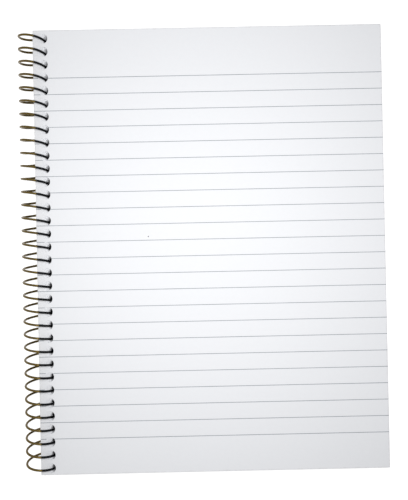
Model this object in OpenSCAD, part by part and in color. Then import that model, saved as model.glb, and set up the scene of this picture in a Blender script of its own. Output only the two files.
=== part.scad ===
// Open spiral notebook: ruled sheets threaded on one long wire coil, with both
// covers folded round behind the sheets. Millimetres, +Z up, +Y towards the head.

/* [Sheets] */
// Width of a sheet, from the spine edge to the fore edge
page_w = 170.2; // [120:0.1:240]
// Height of a sheet, from the foot to the head
page_h = 217; // [100:1:320]
// Thickness of the whole stack of sheets
stack_t = 7.4; // [4:0.1:10]

/* [Ruling] */
// Distance from one ruled line to the next
line_pitch = 8; // [6:0.1:12]
// Distance from the head of the sheet to the first line
head_margin = 23.5; // [10:0.1:40]
// Least blank height left below the last line
foot_margin = 16; // [8:0.5:40]
// Width of a printed line
line_w = 0.3; // [0.2:0.05:0.6]
// Thickness given to the ink
ink_t = 0.05; // [0.03:0.01:0.1]

/* [Punched holes] */
// Distance from one hole to the next along the spine
hole_pitch = 6.35; // [5.5:0.01:8.5]
// Diameter of the holes in the sheets
hole_d = 4.8; // [4.4:0.05:5.2]
// Distance from the spine edge of a sheet to the middle of its holes
hole_inset = 4.75; // [4:0.05:8]
// Height of the first hole above the foot of the sheet
foot_hole = 3.3; // [3:0.1:6]
// Least distance from the head of the sheet to the last hole
head_hole = 3; // [2.8:0.1:6]

/* [Wire coil] */
// Diameter of the wire
wire_d = 1.1; // [0.8:0.05:1.4]
// Room between half the thickness of the book and the middle of the wire
coil_room = 2.35; // [2:0.05:5]
// How far the middle of the book lies below the axis of the coil
book_drop = 1.15; // [0:0.05:1.4]
// How far the sheets have slipped along their holes towards the spine
sheet_slip = 0.4; // [0:0.05:0.7]
// How far a hole's middle lies above the wire that enters it
sheet_lift = 0.5; // [0:0.05:0.6]

/* [Covers] */
// Thickness of the rear cover's board
rear_t = 0.7; // [0.4:0.05:1.2]
// Thickness of the front cover's card
front_t = 0.45; // [0.3:0.05:0.8]
// Air between two leaves that lie on each other
leaf_gap = 0.08; // [0.05:0.01:0.3]
// Play of the wire in a cover's hole, on each side, as the cover swings round
swing_play = 0.36; // [0.3:0.01:0.6]

/* [Hidden] */
$fn = 48;

// Heights, measured from the axis of the coil
book_t = stack_t + leaf_gap + rear_t + leaf_gap + front_t;
coil_r = book_t / 2 + coil_room;
wire_r = wire_d / 2;
page_top = book_t / 2 - book_drop;
page_bottom = page_top - stack_t;
rear_top = page_bottom - leaf_gap;
front_top = rear_top - rear_t - leaf_gap;

// Where the middle of the wire passes a given height on the side of the sheets
function rim_x(z) = sqrt(coil_r * coil_r - z * z);
function rim_angle(z) = asin(z / coil_r);

// The sheets hang on the wire where it bulges furthest inside their stack
wire_in_sheets = (coil_r + min(rim_x(page_top), rim_x(page_bottom))) / 2;
hole_x = wire_in_sheets - sheet_slip;
spine_x = hole_x - hole_inset;
fore_x = spine_x + page_w;
hole_count = floor((page_h - foot_hole - head_hole) / hole_pitch) + 1;
line_count = floor((page_h - head_margin - foot_margin) / line_pitch) + 1;

// The coil climbs one hole pitch in a turn that runs up through a hole, over
// the spine, down on the far side and back under the book: a left-hand helix.
enter_angle = rim_angle(page_top);
function wire_y(a) = foot_hole - sheet_lift + hole_pitch * (a - enter_angle) / 360;

// The cut ends of the wire lie hidden under the book
turn_step = 22.5;
wire_sides = 8;
start_angle = -78;
end_angle = 360 * (hole_count - 1) + 285;
deburr_angle = 2.5;
deburr_share = 0.7;
first_step = ceil((start_angle + deburr_angle) / turn_step + 0.1);
last_step = floor((end_angle - deburr_angle) / turn_step - 0.1);
wire_angles = concat(
    [start_angle, start_angle + deburr_angle],
    [for (i = [first_step:last_step]) i * turn_step],
    [end_angle - deburr_angle, end_angle]
);
ring_count = len(wire_angles);
function ring_r(i) = i == 0 || i == ring_count - 1 ? wire_r * deburr_share : wire_r;

// A ring of the wire stands square to the helix: one of its arms points away
// from the axis of the coil, and the other leans along it.
climb = atan2(hole_pitch, 360 * (PI / 180) * coil_r);
function ring_point(a, r, side) =
    let (out = r * cos(side), along = r * sin(side))
    [
        (coil_r + out) * cos(a) + along * sin(climb) * sin(a),
        wire_y(a) + along * cos(climb),
        (coil_r + out) * sin(a) - along * sin(climb) * cos(a)
    ];
wire_points = [
    for (i = [0:ring_count - 1], k = [0:wire_sides - 1])
        ring_point(wire_angles[i], ring_r(i), 360 * k / wire_sides)
];
function ring_index(i, k) = i * wire_sides + k % wire_sides;
wire_faces = concat(
    [[for (k = [0:wire_sides - 1]) ring_index(0, k)]],
    [
        for (i = [0:ring_count - 2], k = [0:wire_sides - 1], half = [0:1])
            half == 0
                ? [ring_index(i, k), ring_index(i + 1, k + 1), ring_index(i, k + 1)]
                : [ring_index(i, k), ring_index(i + 1, k), ring_index(i + 1, k + 1)]
    ],
    [[for (k = [0:wire_sides - 1]) ring_index(ring_count - 1, wire_sides - 1 - k)]]
);

// The notebook stands with the middle of its outer box over the origin
outer_left = -coil_r - wire_r;
outer_head = max(page_h, max([for (p = wire_points) p[1]]));
mid_x = (outer_left + fore_x) / 2;
mid_y = outer_head / 2;
axis_z = coil_r + wire_r;

// A cover swings half a turn about the coil, and the wire climbs half a pitch
// along its holes meanwhile, so the holes are that much wider than the wire and
// start with the wire a quarter of a pitch above their middle. The wire reaches
// past the outermost holes of the sheets, so a cover has one hole more, and its
// first and last are notches in its foot and head edges.
cover_hole_d = hole_pitch / 2 + wire_d + 2 * swing_play;
cover_hole_count = hole_count + 1;
function cover_hole_y(z) = wire_y(rim_angle(z)) - hole_pitch / 4;

// Moves a piece from the axis of the coil to its place over the origin
module stand() {
    translate([-mid_x, -mid_y, axis_z]) children();
}

// A rectangular leaf of the sheets' outline between two heights
module leaf(z_low, thick) {
    translate([spine_x, 0, z_low]) cube([page_w, page_h, thick]);
}

// One row of round punches down the spine, through everything between two heights
module punches(count, x, y_first, d, z_low, z_high) {
    for (k = [0:count - 1])
        translate([x, y_first + k * hole_pitch, z_low - 1])
            cylinder(d = d, h = z_high - z_low + 2);
}

module page_block() {
    color([0.96, 0.96, 0.97])
        stand()
            difference() {
                leaf(page_bottom, stack_t);
                punches(hole_count, hole_x, foot_hole, hole_d, page_bottom, page_top);
            }
}

module ruled_lines() {
    color([0.62, 0.68, 0.76])
        stand()
            difference() {
                for (k = [0:line_count - 1])
                    translate([spine_x, page_h - head_margin - k * line_pitch - line_w / 2, page_top])
                        cube([page_w, line_w, ink_t]);
                punches(hole_count, hole_x, foot_hole, hole_d, page_top, page_top + ink_t);
            }
}

module wire_spiral() {
    color([0.13, 0.11, 0.1])
        stand()
            polyhedron(points = wire_points, faces = wire_faces, convexity = 10);
}

// A cover is a leaf whose holes let it swing round the coil
module cover(z_low, thick) {
    z_mid = z_low + thick / 2;
    difference() {
        leaf(z_low, thick);
        punches(cover_hole_count, rim_x(z_mid), cover_hole_y(z_mid), cover_hole_d, z_low, z_low + thick);
    }
}

module rear_cover() {
    color([0.17, 0.17, 0.18]) stand() cover(rear_top - rear_t, rear_t);
}

module front_cover() {
    color([0.12, 0.2, 0.36]) stand() cover(front_top - front_t, front_t);
}

page_block();
ruled_lines();
wire_spiral();
rear_cover();
front_cover();
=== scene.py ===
import math
import random

import bpy
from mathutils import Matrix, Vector


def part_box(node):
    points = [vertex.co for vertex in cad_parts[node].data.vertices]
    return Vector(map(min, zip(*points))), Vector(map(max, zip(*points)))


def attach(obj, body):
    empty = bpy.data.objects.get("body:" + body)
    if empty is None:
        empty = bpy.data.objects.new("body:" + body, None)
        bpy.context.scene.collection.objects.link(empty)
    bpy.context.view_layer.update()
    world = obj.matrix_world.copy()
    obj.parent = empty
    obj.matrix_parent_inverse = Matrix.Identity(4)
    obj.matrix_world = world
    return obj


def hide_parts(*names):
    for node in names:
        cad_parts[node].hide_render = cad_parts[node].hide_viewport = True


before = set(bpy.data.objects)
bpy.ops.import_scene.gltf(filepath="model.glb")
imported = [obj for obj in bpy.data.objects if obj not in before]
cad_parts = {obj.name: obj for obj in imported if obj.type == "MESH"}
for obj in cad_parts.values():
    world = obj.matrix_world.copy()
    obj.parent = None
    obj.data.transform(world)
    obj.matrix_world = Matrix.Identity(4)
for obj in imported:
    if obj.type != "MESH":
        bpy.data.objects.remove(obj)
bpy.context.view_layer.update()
bpy.ops.object.select_all(action="DESELECT")

# Camera: it looks straight down on the open page from a quarter of a metre
# above, turned by about one degree, as the photograph was taken.
CAMERA_AT = (-0.0003, -0.0009, 0.2573)
CAMERA_TILT = (0.084, -0.175, -1.188)
LENS_MM = 36.4

bpy.ops.object.camera_add(
    location=CAMERA_AT,
    rotation=[math.radians(angle) for angle in CAMERA_TILT],
)
camera = bpy.context.object
camera.data.sensor_width = 36
camera.data.lens = LENS_MM
camera.data.clip_start = 0.01
bpy.context.scene.camera = camera
bpy.context.scene.view_settings.view_transform = "Standard"


# Light: one soft lamp close above the middle of the page, which leaves the
# corners a little darker, and an even pale room all round it.
LAMP_AT = (-0.0026, 0.0170, 0.245)
LAMP_SIZE = 0.11
LAMP_WATTS = 0.415
ROOM_LIGHT = 0.40

bpy.ops.object.light_add(type="AREA", location=LAMP_AT)
lamp = bpy.context.object
lamp.data.shape = "DISK"
lamp.data.size = LAMP_SIZE
lamp.data.energy = LAMP_WATTS
lamp.visible_camera = False


def give(links, socket, value):
    """Links another socket to a socket, or else sets its own value"""
    if isinstance(value, bpy.types.NodeSocket):
        links.new(value, socket)
    else:
        socket.default_value = value


def maths(nodes, links, operation, first, second=0.0):
    """One Math node, whose inputs are sockets or numbers"""
    node = nodes.new("ShaderNodeMath")
    node.operation = operation
    give(links, node.inputs[0], first)
    give(links, node.inputs[1], second)
    return node.outputs[0]


def ramp(nodes, links, value, before, after, curve="LINEAR"):
    """A value brought from one range to another, clamped at its ends"""
    node = nodes.new("ShaderNodeMapRange")
    node.interpolation_type = curve
    node.inputs["From Min"].default_value, node.inputs["From Max"].default_value = before
    node.inputs["To Min"].default_value, node.inputs["To Max"].default_value = after
    links.new(value, node.inputs["Value"])
    return node.outputs["Result"]


def seen_directly(nodes, links):
    """1 on camera, glossy and transmitted rays, 0 on the rays that light things"""
    path = nodes.new("ShaderNodeLightPath")
    seen = maths(nodes, links, "MAXIMUM", path.outputs["Is Camera Ray"], path.outputs["Is Glossy Ray"])
    return maths(nodes, links, "MAXIMUM", seen, path.outputs["Is Transmission Ray"])


room = bpy.data.worlds.new("pale_room")
bpy.context.scene.world = room
room.use_nodes = True
nodes, links = room.node_tree.nodes, room.node_tree.links
strength = ramp(nodes, links, seen_directly(nodes, links), (0.0, 1.0), (ROOM_LIGHT, 1.0))
links.new(strength, nodes["Background"].inputs["Strength"])
nodes["Background"].inputs["Color"].default_value = (1, 1, 1, 1)


# Floor: a plain pale table top. It glows a little to the camera, so that it
# comes out white but still holds the soft shadow of the notebook. Where the
# sheets cover it, the glow is left out.
FLOOR_SIZE = 6.0
FLOOR_COLOUR = (0.86, 0.86, 0.865, 1)
FLOOR_GLOW = 0.62


def axes(nodes, links, place):
    """The X, Y and Z of a place"""
    node = nodes.new("ShaderNodeSeparateXYZ")
    links.new(place, node.inputs[0])
    return node.outputs


def outside(nodes, links, value, first, last):
    """1 where a value lies outside a range, and 0 within it"""
    from_middle = maths(nodes, links, "SUBTRACT", value, (first + last) / 2)
    distance = maths(nodes, links, "ABSOLUTE", from_middle)
    return maths(nodes, links, "GREATER_THAN", distance, (last - first) / 2)


bpy.ops.mesh.primitive_plane_add(size=FLOOR_SIZE, location=(0, 0, 0))
floor = bpy.context.object
floor.name = "floor"
table_top = bpy.data.materials.new("table_top")
table_top.use_nodes = True
nodes, links = table_top.node_tree.nodes, table_top.node_tree.links
surface = nodes["Principled BSDF"]
surface.inputs["Base Color"].default_value = FLOOR_COLOUR
surface.inputs["Roughness"].default_value = 0.9
surface.inputs["Specular IOR Level"].default_value = 0.1
surface.inputs["Emission Color"].default_value = (1, 1, 1, 1)
covered_low, covered_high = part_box("page_block")
across = axes(nodes, links, nodes.new("ShaderNodeTexCoord").outputs["Object"])
beyond_x = outside(nodes, links, across["X"], covered_low.x, covered_high.x)
beyond_y = outside(nodes, links, across["Y"], covered_low.y, covered_high.y)
in_the_open = maths(nodes, links, "MAXIMUM", beyond_x, beyond_y)
glow = maths(nodes, links, "MULTIPLY", seen_directly(nodes, links), FLOOR_GLOW)
links.new(maths(nodes, links, "MULTIPLY", glow, in_the_open), surface.inputs["Emission Strength"])
floor.data.materials.append(table_top)


# Sheets: eighty leaves of white writing paper, each punched with one row of
# round holes. They hang loosely on the wire, so that no two edges lie quite
# flush and the holes under the top sheet slip aside along the wire.
MM = 0.001
LEAF_COUNT = 80
LEAF_AIR = 0.006 * MM
LEAF_SHIFT = 0.1 * MM
HOLE_PITCH = 6.35 * MM
HOLE_WIDTH = 4.8 * MM
HOLE_INSET = 4.75 * MM
FOOT_HOLE = 3.3 * MM
HOLE_COUNT = 34
SLIP_DEPTH = 1.1 * MM
FIRST_SLIP = (1.85 * MM, -0.3 * MM)
DEEP_SLIP = (-0.4 * MM, -0.25 * MM)
HOLE_REACH = 0.6 * HOLE_WIDTH
TOP_HOLE_SIDES = 48
LEAF_HOLE_SIDES = 16
WIRE_RADIUS = 0.55 * MM
PAPER_WHITE = (0.875, 0.885, 0.91, 1)
PAPER_THIN = (0.855, 0.865, 0.895, 1)
PAPER_EDGE_SHADE = (0.84, 0.845, 0.86, 1)
PAPER_EDGE_SHADE_DARK = (0.66, 0.665, 0.68, 1)
LEAF_STREAKS = (60.0, 60.0, 4200.0)

stack_low, stack_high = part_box("page_block")
hole_row_x = stack_low.x + HOLE_INSET
first_hole_y = stack_low.y + FOOT_HOLE

wire_low, wire_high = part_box("wire_spiral")
coil_radius = (wire_high.z - wire_low.z) / 2 - WIRE_RADIUS
axis_x = wire_low.x + WIRE_RADIUS + coil_radius
axis_z = wire_low.z + WIRE_RADIUS + coil_radius


def wire_inset(z):
    """How far right of the coil's axis the wire crosses a height"""
    return math.sqrt(coil_radius ** 2 - (z - axis_z) ** 2)


def leaf_holes(z):
    """Where a leaf at a given height has the first of its holes

    The holes follow the bulge of the wire. Within the first leaves they slip
    towards the fore edge, and all the way down they slip towards the foot.
    """
    depth = (stack_high.z - z) / (stack_high.z - stack_low.z)
    slipped = min(1.0, (stack_high.z - z) / SLIP_DEPTH)
    follow = wire_inset(z) - wire_inset(stack_high.z)
    x = hole_row_x + follow + slipped * FIRST_SLIP[0] + depth ** 2 * DEEP_SLIP[0]
    y = first_hole_y + slipped * FIRST_SLIP[1] + depth * DEEP_SLIP[1]
    return x, y


def only(piece):
    """Selects one object and nothing else, and makes it the active one"""
    bpy.ops.object.select_all(action="DESELECT")
    piece.select_set(True)
    bpy.context.view_layer.objects.active = piece


def settle(piece):
    """Puts a piece's place, turn and scale into its mesh"""
    only(piece)
    bpy.ops.object.transform_apply(location=True, rotation=True, scale=True)


def hole_punches(x, first_y, count, width, sides, z_low, z_high):
    """A row of round punches that stand through a leaf, as one object"""
    bpy.ops.mesh.primitive_cylinder_add(
        vertices=sides,
        radius=width / 2,
        depth=z_high - z_low + 2 * MM,
        location=(x, first_y, (z_low + z_high) / 2),
    )
    row = bpy.context.object
    repeat = row.modifiers.new("row", "ARRAY")
    repeat.count = count
    repeat.use_relative_offset = False
    repeat.use_constant_offset = True
    repeat.constant_offset_displace = (0, HOLE_PITCH, 0)
    bpy.ops.object.modifier_apply(modifier="row")
    return row


def punched_leaf(name, low, high, x, first_y, count, width, sides):
    """A flat leaf between two corners, with one row of holes along its spine"""
    bpy.ops.mesh.primitive_cube_add(size=1, location=(low + high) / 2, scale=high - low)
    leaf = bpy.context.object
    leaf.name = name
    settle(leaf)
    row = hole_punches(x, first_y, count, width, sides, low.z, high.z)
    only(leaf)
    cut = leaf.modifiers.new("holes", "BOOLEAN")
    cut.operation = "DIFFERENCE"
    cut.solver = "EXACT"
    cut.object = row
    bpy.ops.object.modifier_apply(modifier="holes")
    bpy.data.objects.remove(row)
    return leaf


leaf_step = (stack_high.z - stack_low.z) / LEAF_COUNT
top_sheet = punched_leaf(
    "top_sheet",
    Vector((stack_low.x, stack_low.y, stack_high.z - leaf_step + LEAF_AIR)),
    stack_high,
    hole_row_x, first_hole_y, HOLE_COUNT, HOLE_WIDTH, TOP_HOLE_SIDES,
)

leaf_inset = Vector((LEAF_SHIFT, LEAF_SHIFT, 0))
pattern_leaf = punched_leaf(
    "pattern_leaf",
    stack_low + leaf_inset,
    Vector((stack_high.x, stack_high.y, stack_low.z + leaf_step - LEAF_AIR)) - leaf_inset,
    hole_row_x, first_hole_y, HOLE_COUNT, HOLE_WIDTH, LEAF_HOLE_SIDES,
)
bpy.ops.object.mode_set(mode="EDIT")
bpy.ops.mesh.select_mode(type="VERT")
bpy.ops.mesh.select_all(action="DESELECT")
bpy.ops.object.mode_set(mode="OBJECT")
for vertex in pattern_leaf.data.vertices:
    vertex.select = abs(vertex.co.x - hole_row_x) < HOLE_REACH


def another_leaf(height, shift_x, shift_y):
    """A copy of the pattern leaf, with its holes moved and the leaf shifted"""
    only(pattern_leaf)
    bpy.ops.object.duplicate()
    leaf = bpy.context.object
    x, first_y = leaf_holes(stack_low.z + height)
    bpy.ops.object.mode_set(mode="EDIT")
    bpy.ops.transform.translate(value=(x - shift_x - hole_row_x, first_y - shift_y - first_hole_y, 0))
    bpy.ops.object.mode_set(mode="OBJECT")
    leaf.location = (shift_x, shift_y, height)
    return leaf


lie = random.Random(34)
leaves = [
    another_leaf(
        count * leaf_step, lie.uniform(-LEAF_SHIFT, LEAF_SHIFT), lie.uniform(-LEAF_SHIFT, LEAF_SHIFT))
    for count in range(LEAF_COUNT - 1)
]
bpy.data.objects.remove(pattern_leaf)
for leaf in leaves:
    leaf.select_set(True)
bpy.ops.object.join()
sheet_stack = bpy.context.object
sheet_stack.name = "sheet_stack"
settle(sheet_stack)


def noise(nodes, links, coordinates, scale, detail=3.0, roughness=0.5):
    """The value of a noise texture on the given coordinates"""
    texture = nodes.new("ShaderNodeTexNoise")
    give(links, texture.inputs["Scale"], scale)
    texture.inputs["Detail"].default_value = detail
    texture.inputs["Roughness"].default_value = roughness
    links.new(coordinates, texture.inputs["Vector"])
    return texture.outputs["Fac"]


def blend_colours(nodes, links, amount, first, second):
    """A mix of two colours, each a socket or a plain colour"""
    node = nodes.new("ShaderNodeMix")
    node.data_type = "RGBA"
    give(links, node.inputs[0], amount)
    give(links, node.inputs[6], first)
    give(links, node.inputs[7], second)
    return node.outputs[2]


CLOUD_SHARE = 0.06


def paper_grain_group():
    """Paper grain: felted fibres as a height, and cloudy thin places as a mask"""
    group = bpy.data.node_groups.new("paper_grain", "ShaderNodeTree")
    group.interface.new_socket("Place", in_out="INPUT", socket_type="NodeSocketVector")
    group.interface.new_socket("Fineness", in_out="INPUT", socket_type="NodeSocketFloat")
    group.interface.new_socket("Height", in_out="OUTPUT", socket_type="NodeSocketFloat")
    group.interface.new_socket("Clouds", in_out="OUTPUT", socket_type="NodeSocketFloat")
    nodes, links = group.nodes, group.links
    source = nodes.new("NodeGroupInput")
    result = nodes.new("NodeGroupOutput")
    place, fineness = source.outputs["Place"], source.outputs["Fineness"]
    fibres = noise(nodes, links, place, fineness, detail=4.0, roughness=0.65)
    links.new(fibres, result.inputs["Height"])
    coarse = maths(nodes, links, "MULTIPLY", fineness, CLOUD_SHARE)
    links.new(noise(nodes, links, place, coarse, detail=2.0), result.inputs["Clouds"])
    return group


paper_grain = paper_grain_group()


def new_finish(name, roughness, specular):
    """A material with its shader, its node tree and its object coordinates"""
    finish = bpy.data.materials.new(name)
    finish.use_nodes = True
    nodes, links = finish.node_tree.nodes, finish.node_tree.links
    shader = nodes["Principled BSDF"]
    shader.inputs["Roughness"].default_value = roughness
    shader.inputs["Specular IOR Level"].default_value = specular
    place = nodes.new("ShaderNodeTexCoord").outputs["Object"]
    return finish, nodes, links, shader, place


def grain(nodes, links, place, fineness):
    """Places the paper grain group and returns its height and its clouds"""
    node = nodes.new("ShaderNodeGroup")
    node.node_tree = paper_grain
    links.new(place, node.inputs["Place"])
    node.inputs["Fineness"].default_value = fineness
    return node.outputs["Height"], node.outputs["Clouds"]


def raised(nodes, links, shader, height, depth):
    """Bump of a given depth from a height"""
    bump = nodes.new("ShaderNodeBump")
    bump.inputs["Strength"].default_value = 1.0
    bump.inputs["Distance"].default_value = depth
    links.new(height, bump.inputs["Height"])
    links.new(bump.outputs["Normal"], shader.inputs["Normal"])


RAGGED_SCALE = 420.0


def edge_wear_and_shade_group():
    """Edge wear and shade: 1 along the outline of a leaf, ragged, falling to 0 inwards; wear on the
    boards, painted shade on the paper
    """
    group = bpy.data.node_groups.new("edge_wear_and_shade", "ShaderNodeTree")
    for name, kind in (("Place", "Vector"), ("Low", "Vector"), ("High", "Vector"), ("Width", "Float")):
        group.interface.new_socket(name, in_out="INPUT", socket_type="NodeSocket" + kind)
    group.interface.new_socket("Wear and shade", in_out="OUTPUT", socket_type="NodeSocketFloat")
    nodes, links = group.nodes, group.links
    source = nodes.new("NodeGroupInput")
    result = nodes.new("NodeGroupOutput")
    place, low, high = (axes(nodes, links, source.outputs[name]) for name in ("Place", "Low", "High"))
    distances = []
    for axis in "XY":
        distances.append(maths(nodes, links, "SUBTRACT", place[axis], low[axis]))
        distances.append(maths(nodes, links, "SUBTRACT", high[axis], place[axis]))
    nearest = distances[0]
    for distance in distances[1:]:
        nearest = maths(nodes, links, "MINIMUM", nearest, distance)
    ragged = noise(nodes, links, source.outputs["Place"], RAGGED_SCALE, detail=5.0, roughness=0.6)
    doubled = maths(nodes, links, "MULTIPLY", ragged, 2.0)
    squared = maths(nodes, links, "POWER", doubled, 2.0)
    reach = maths(nodes, links, "MULTIPLY", source.outputs["Width"], squared)
    share = maths(nodes, links, "DIVIDE", nearest, reach)
    links.new(ramp(nodes, links, share, (0.0, 1.0), (1.0, 0.0), "SMOOTHSTEP"), result.inputs["Wear and shade"])
    return group


edge_wear_and_shade = edge_wear_and_shade_group()


def edges_worn_and_shaded(nodes, links, place, node, width):
    """Places the edge wear and shade group on a leaf and returns its mask"""
    low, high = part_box(node)
    wear_and_shade = nodes.new("ShaderNodeGroup")
    wear_and_shade.node_tree = edge_wear_and_shade
    links.new(place, wear_and_shade.inputs["Place"])
    wear_and_shade.inputs["Low"].default_value = low
    wear_and_shade.inputs["High"].default_value = high
    wear_and_shade.inputs["Width"].default_value = width
    return wear_and_shade.outputs["Wear and shade"]


# The open page has painted shade in a ragged band along its edges, and one small
# dark fleck in its paper, a third of the way in from the spine and just above its middle.
FLECK_AT = (54.5 * MM, 115.3 * MM)
FLECK_RADIUS = 0.28 * MM
FLECK_COLOUR = (0.10, 0.10, 0.11, 1)
PAPER_FINENESS = 9000.0
PAPER_RELIEF = 0.006 * MM
PAPER_SHADE_WIDTH = 0.6 * MM


def writing_paper():
    """Clouded white paper, with streaked painted shade on the edges of the leaves and in a band round
    the page
    """
    finish, nodes, links, shader, place = new_finish("writing_paper", roughness=0.62, specular=0.25)
    height, clouds = grain(nodes, links, place, PAPER_FINENESS)
    sheet = blend_colours(nodes, links, clouds, PAPER_WHITE, PAPER_THIN)
    stretched = nodes.new("ShaderNodeVectorMath")
    stretched.operation = "MULTIPLY"
    stretched.inputs[1].default_value = LEAF_STREAKS
    links.new(place, stretched.inputs[0])
    streaks = noise(nodes, links, stretched.outputs["Vector"], 1.0, detail=4.0, roughness=0.7)
    # The edge colours are painted shade: a ragged darker band round the page, and dark streaks along the
    # sides of the stack.
    edge = blend_colours(nodes, links, streaks, PAPER_EDGE_SHADE, PAPER_EDGE_SHADE_DARK)
    wear_and_shade = edges_worn_and_shaded(nodes, links, place, "page_block", PAPER_SHADE_WIDTH)
    sheet = blend_colours(nodes, links, wear_and_shade, sheet, edge)
    away = nodes.new("ShaderNodeVectorMath")
    away.operation = "DISTANCE"
    links.new(place, away.inputs[0])
    away.inputs[1].default_value = (
        stack_low.x + FLECK_AT[0], stack_low.y + FLECK_AT[1], stack_high.z)
    fleck = maths(nodes, links, "LESS_THAN", away.outputs["Value"], FLECK_RADIUS)
    sheet = blend_colours(nodes, links, fleck, sheet, FLECK_COLOUR)
    links.new(sheet, shader.inputs["Base Color"])
    raised(nodes, links, shader, height, PAPER_RELIEF)
    return finish


paper = writing_paper()
for piece in (top_sheet, sheet_stack):
    piece.data.materials.append(paper)
    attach(piece, "sheets")
    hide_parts("page_block")


# Ruling: grey lines, faintly blue, printed right across the page. The ink is
# thin, so that its strength varies along the lines and with the paper's grain.
INK_LIGHT = (0.52, 0.545, 0.575, 1)
INK_DARK = (0.20, 0.225, 0.255, 1)
INK_MOTTLE = 90.0

ruling_ink, nodes, links, shader, place = new_finish("ruling_ink", roughness=0.7, specular=0.2)
mottle = noise(nodes, links, place, INK_MOTTLE, detail=8.0, roughness=0.75)
links.new(blend_colours(nodes, links, mottle, INK_LIGHT, INK_DARK), shader.inputs["Base Color"])
ruled_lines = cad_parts["ruled_lines"]
ruled_lines.data.materials.clear()
ruled_lines.data.materials.append(ruling_ink)


# Coil: one length of steel wire, wound to a left-hand spring and screwed
# through the holes. Its lacquer is black. Beyond the spine, where the loops stand out
# against the bright floor, it is painted lighter, bronze and metallic: painted glare.
WIRE_SIDES = 16
TURN_STEPS = 48
SHEET_LIFT = 0.5 * MM
COIL_START = math.radians(-75.5)
COIL_END = math.radians(360 * (HOLE_COUNT - 1) + 282.5)
END_ROUNDING = 0.25 * MM
END_WIDTHS = (0.86, 0.55)
LACQUER_BLACK = (0.004, 0.0045, 0.0055, 1)
GLARE_BRONZE = (0.112, 0.078, 0.022, 1)
LACQUER_ROUGHNESS = 0.42
BRONZE_POLISH = 0.14
BRONZE_METALLIC = 0.75
GLARE_REACH = 1.5 * MM
GLARE_EDGE = 0.9 * MM
GLARE_WAVER = 2.0 * MM
SPECKLE_SCALE = 1400.0
SPECKLE_RELIEF = 0.004 * MM

enter_angle = math.asin((stack_high.z - axis_z) / coil_radius)
climb = math.atan2(HOLE_PITCH, math.tau * coil_radius)


def coil_y(angle):
    """Where the middle of the wire is along the spine at an angle of the coil"""
    return first_hole_y - SHEET_LIFT + HOLE_PITCH * (angle - enter_angle) / math.tau


def coil_point(angle):
    """Where the middle of the wire is at an angle of the coil"""
    return Vector((
        axis_x + coil_radius * math.cos(angle),
        coil_y(angle),
        axis_z + coil_radius * math.sin(angle),
    ))


def coil_heading(angle):
    """The way along the wire at an angle of the coil"""
    return Vector((
        -math.sin(angle) * math.cos(climb),
        math.sin(climb),
        math.cos(angle) * math.cos(climb),
    ))


def wound_wire():
    """A ring of the wire's size, screwed round the axis of the coil"""
    start = coil_point(COIL_START)
    bpy.ops.mesh.primitive_circle_add(
        vertices=WIRE_SIDES, radius=WIRE_RADIUS, fill_type="NOTHING", location=start
    )
    wire = bpy.context.object
    wire.name = "wire_coil"
    wire.rotation_mode = "QUATERNION"
    wire.rotation_quaternion = coil_heading(COIL_START).to_track_quat("Z", "Y")
    settle(wire)
    bpy.context.scene.cursor.location = (axis_x, start.y, axis_z)
    bpy.ops.object.origin_set(type="ORIGIN_CURSOR")
    wind = wire.modifiers.new("wind", "SCREW")
    wind.axis = "Y"
    wind.angle = -(COIL_END - COIL_START)
    wind.screw_offset = coil_y(COIL_END) - coil_y(COIL_START)
    wind.steps = round((COIL_END - COIL_START) / math.tau * TURN_STEPS)
    wind.render_steps = wind.steps
    wind.use_smooth_shade = True
    bpy.ops.object.modifier_apply(modifier="wind")
    settle(wire)
    return wire


wire_coil = wound_wire()


def round_end(wire, angle, way):
    """Rounds off one cut end of the wire: shrinking rings and a cap"""
    only(wire)
    end, heading = coil_point(angle), coil_heading(angle) * way
    for width in END_WIDTHS:
        bpy.ops.object.mode_set(mode="EDIT")
        bpy.ops.mesh.select_mode(type="EDGE")
        bpy.ops.mesh.select_all(action="DESELECT")
        bpy.ops.mesh.select_non_manifold(extend=False)
        bpy.ops.object.mode_set(mode="OBJECT")
        for edge in wire.data.edges:
            middle = sum((wire.data.vertices[v].co for v in edge.vertices), Vector()) / 2
            edge.select = edge.select and (middle - end).length < 2 * WIRE_RADIUS
        bpy.ops.object.mode_set(mode="EDIT")
        bpy.ops.mesh.extrude_edges_move(
            TRANSFORM_OT_translate={"value": heading * END_ROUNDING / len(END_WIDTHS)}
        )
        bpy.ops.transform.resize(value=(width, width, width))
        bpy.ops.object.mode_set(mode="OBJECT")
    bpy.ops.object.mode_set(mode="EDIT")
    bpy.ops.mesh.edge_face_add()
    bpy.ops.object.mode_set(mode="OBJECT")


round_end(wire_coil, COIL_START, -1)
round_end(wire_coil, COIL_END, 1)
only(wire_coil)
bpy.ops.object.mode_set(mode="EDIT")
bpy.ops.mesh.select_all(action="SELECT")
bpy.ops.mesh.normals_make_consistent(inside=False)
bpy.ops.object.mode_set(mode="OBJECT")
bpy.ops.object.shade_smooth_by_angle(angle=math.radians(50))

lacquer, nodes, links, shader, place = new_finish(
    "black_lacquer", roughness=LACQUER_ROUGHNESS, specular=0.08)
speckle = noise(nodes, links, place, SPECKLE_SCALE)
waver = maths(nodes, links, "MULTIPLY", maths(nodes, links, "SUBTRACT", speckle, 0.5), GLARE_WAVER)
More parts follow.
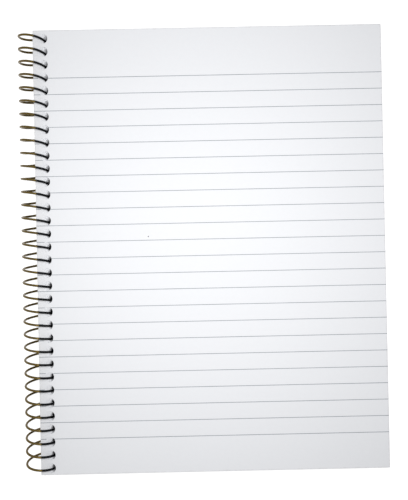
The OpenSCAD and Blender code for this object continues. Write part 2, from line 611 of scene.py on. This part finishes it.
# Beyond the spine the wire is painted bronze, more metallic and glossier: painted glare from the bright
# floor round the loops.
glare_line = maths(nodes, links, "SUBTRACT", stack_low.x + GLARE_REACH, waver)
beyond_line = maths(nodes, links, "SUBTRACT", glare_line, axes(nodes, links, place)["X"])
painted_glare = ramp(nodes, links, beyond_line, (-GLARE_EDGE / 2, GLARE_EDGE), (0.0, 1.0), "SMOOTHSTEP")
links.new(blend_colours(nodes, links, painted_glare, LACQUER_BLACK, GLARE_BRONZE), shader.inputs["Base Color"])
links.new(maths(nodes, links, "MULTIPLY", painted_glare, BRONZE_METALLIC), shader.inputs["Metallic"])
polish = maths(nodes, links, "MULTIPLY", painted_glare, BRONZE_POLISH)
links.new(maths(nodes, links, "SUBTRACT", LACQUER_ROUGHNESS, polish), shader.inputs["Roughness"])
raised(nodes, links, shader, speckle, SPECKLE_RELIEF)
wire_coil.data.materials.append(lacquer)
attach(wire_coil, "sheets")
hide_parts("wire_spiral")


# Rear cover: a stiff charcoal board, pressed from grey fibre and cut flush
# with the sheets. Its cut edges show the paler core and are a little worn.
COVER_PLAY = 0.36 * MM
COVER_HOLE_WIDTH = HOLE_PITCH / 2 + 2 * (WIRE_RADIUS + COVER_PLAY)
COVER_HOLE_COUNT = HOLE_COUNT + 1
COVER_HOLE_SIDES = 40
BOARD_BEVEL = 0.09 * MM
BOARD_CHARCOAL = (0.022, 0.023, 0.026, 1)
BOARD_FIBRE = (0.045, 0.046, 0.050, 1)
BOARD_CORE = (0.16, 0.155, 0.15, 1)
BOARD_FINENESS = 2600.0
BOARD_RELIEF = 0.03 * MM
BOARD_WEAR = 0.5 * MM


def board(name, node):
    """A cover as a punched board whose edges are slightly rounded"""
    low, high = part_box(node)
    middle_z = (low.z + high.z) / 2
    angle = math.asin((middle_z - axis_z) / coil_radius)
    piece = punched_leaf(
        name, low, high,
        axis_x + coil_radius * math.cos(angle),
        coil_y(angle) - HOLE_PITCH / 4,
        COVER_HOLE_COUNT, COVER_HOLE_WIDTH, COVER_HOLE_SIDES,
    )
    edges = piece.modifiers.new("edges", "BEVEL")
    edges.width = BOARD_BEVEL
    edges.segments = 2
    edges.limit_method = "ANGLE"
    edges.angle_limit = math.radians(60)
    bpy.ops.object.modifier_apply(modifier="edges")
    bpy.ops.object.shade_smooth_by_angle(angle=math.radians(40))
    return piece


rear_cover = board("rear_board", "rear_cover")
charcoal_board, nodes, links, shader, place = new_finish("charcoal_board", roughness=0.78, specular=0.3)
height = grain(nodes, links, place, BOARD_FINENESS)[0]
fibre = blend_colours(nodes, links, height, BOARD_CHARCOAL, BOARD_FIBRE)
wear_and_shade = edges_worn_and_shaded(nodes, links, place, "rear_cover", BOARD_WEAR)
links.new(blend_colours(nodes, links, wear_and_shade, fibre, BOARD_CORE), shader.inputs["Base Color"])
raised(nodes, links, shader, height, BOARD_RELIEF)
rear_cover.data.materials.append(charcoal_board)
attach(rear_cover, "rear_cover")
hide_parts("rear_cover")


# Front cover: a thinner card, folded right round behind the book. Its outer
# side is coated dark blue, and the inner side, now underneath, is plain card.
CARD_BLUE = (0.020, 0.050, 0.135, 1)
CARD_BLUE_DEEP = (0.014, 0.036, 0.100, 1)
CARD_PLAIN = (0.62, 0.61, 0.58, 1)
CARD_FIBRE = (0.50, 0.49, 0.46, 1)
PLAIN_ROUGHNESS = 0.8
COATED_ROUGHNESS = 0.3
CARD_FINENESS = 3200.0
CARD_RELIEF = 0.012 * MM
CARD_WEAR = 0.45 * MM

front_cover = board("front_card", "front_cover")
coated_card, nodes, links, shader, place = new_finish(
    "coated_card", roughness=COATED_ROUGHNESS, specular=0.5)
card_low, card_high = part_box("front_cover")
height, clouds = grain(nodes, links, place, CARD_FINENESS)
place_z = axes(nodes, links, place)["Z"]
outer_side = maths(nodes, links, "GREATER_THAN", place_z, card_high.z - BOARD_BEVEL)
wear_and_shade = edges_worn_and_shaded(nodes, links, place, "front_cover", CARD_WEAR)
coated = maths(nodes, links, "MULTIPLY", outer_side, maths(nodes, links, "SUBTRACT", 1.0, wear_and_shade))
plain = blend_colours(nodes, links, height, CARD_PLAIN, CARD_FIBRE)
blue = blend_colours(nodes, links, clouds, CARD_BLUE, CARD_BLUE_DEEP)
links.new(blend_colours(nodes, links, coated, plain, blue), shader.inputs["Base Color"])
roughness = ramp(nodes, links, coated, (0.0, 1.0), (PLAIN_ROUGHNESS, COATED_ROUGHNESS))
links.new(roughness, shader.inputs["Roughness"])
raised(nodes, links, shader, height, CARD_RELIEF)
front_cover.data.materials.append(coated_card)
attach(front_cover, "front_cover")
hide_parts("front_cover")
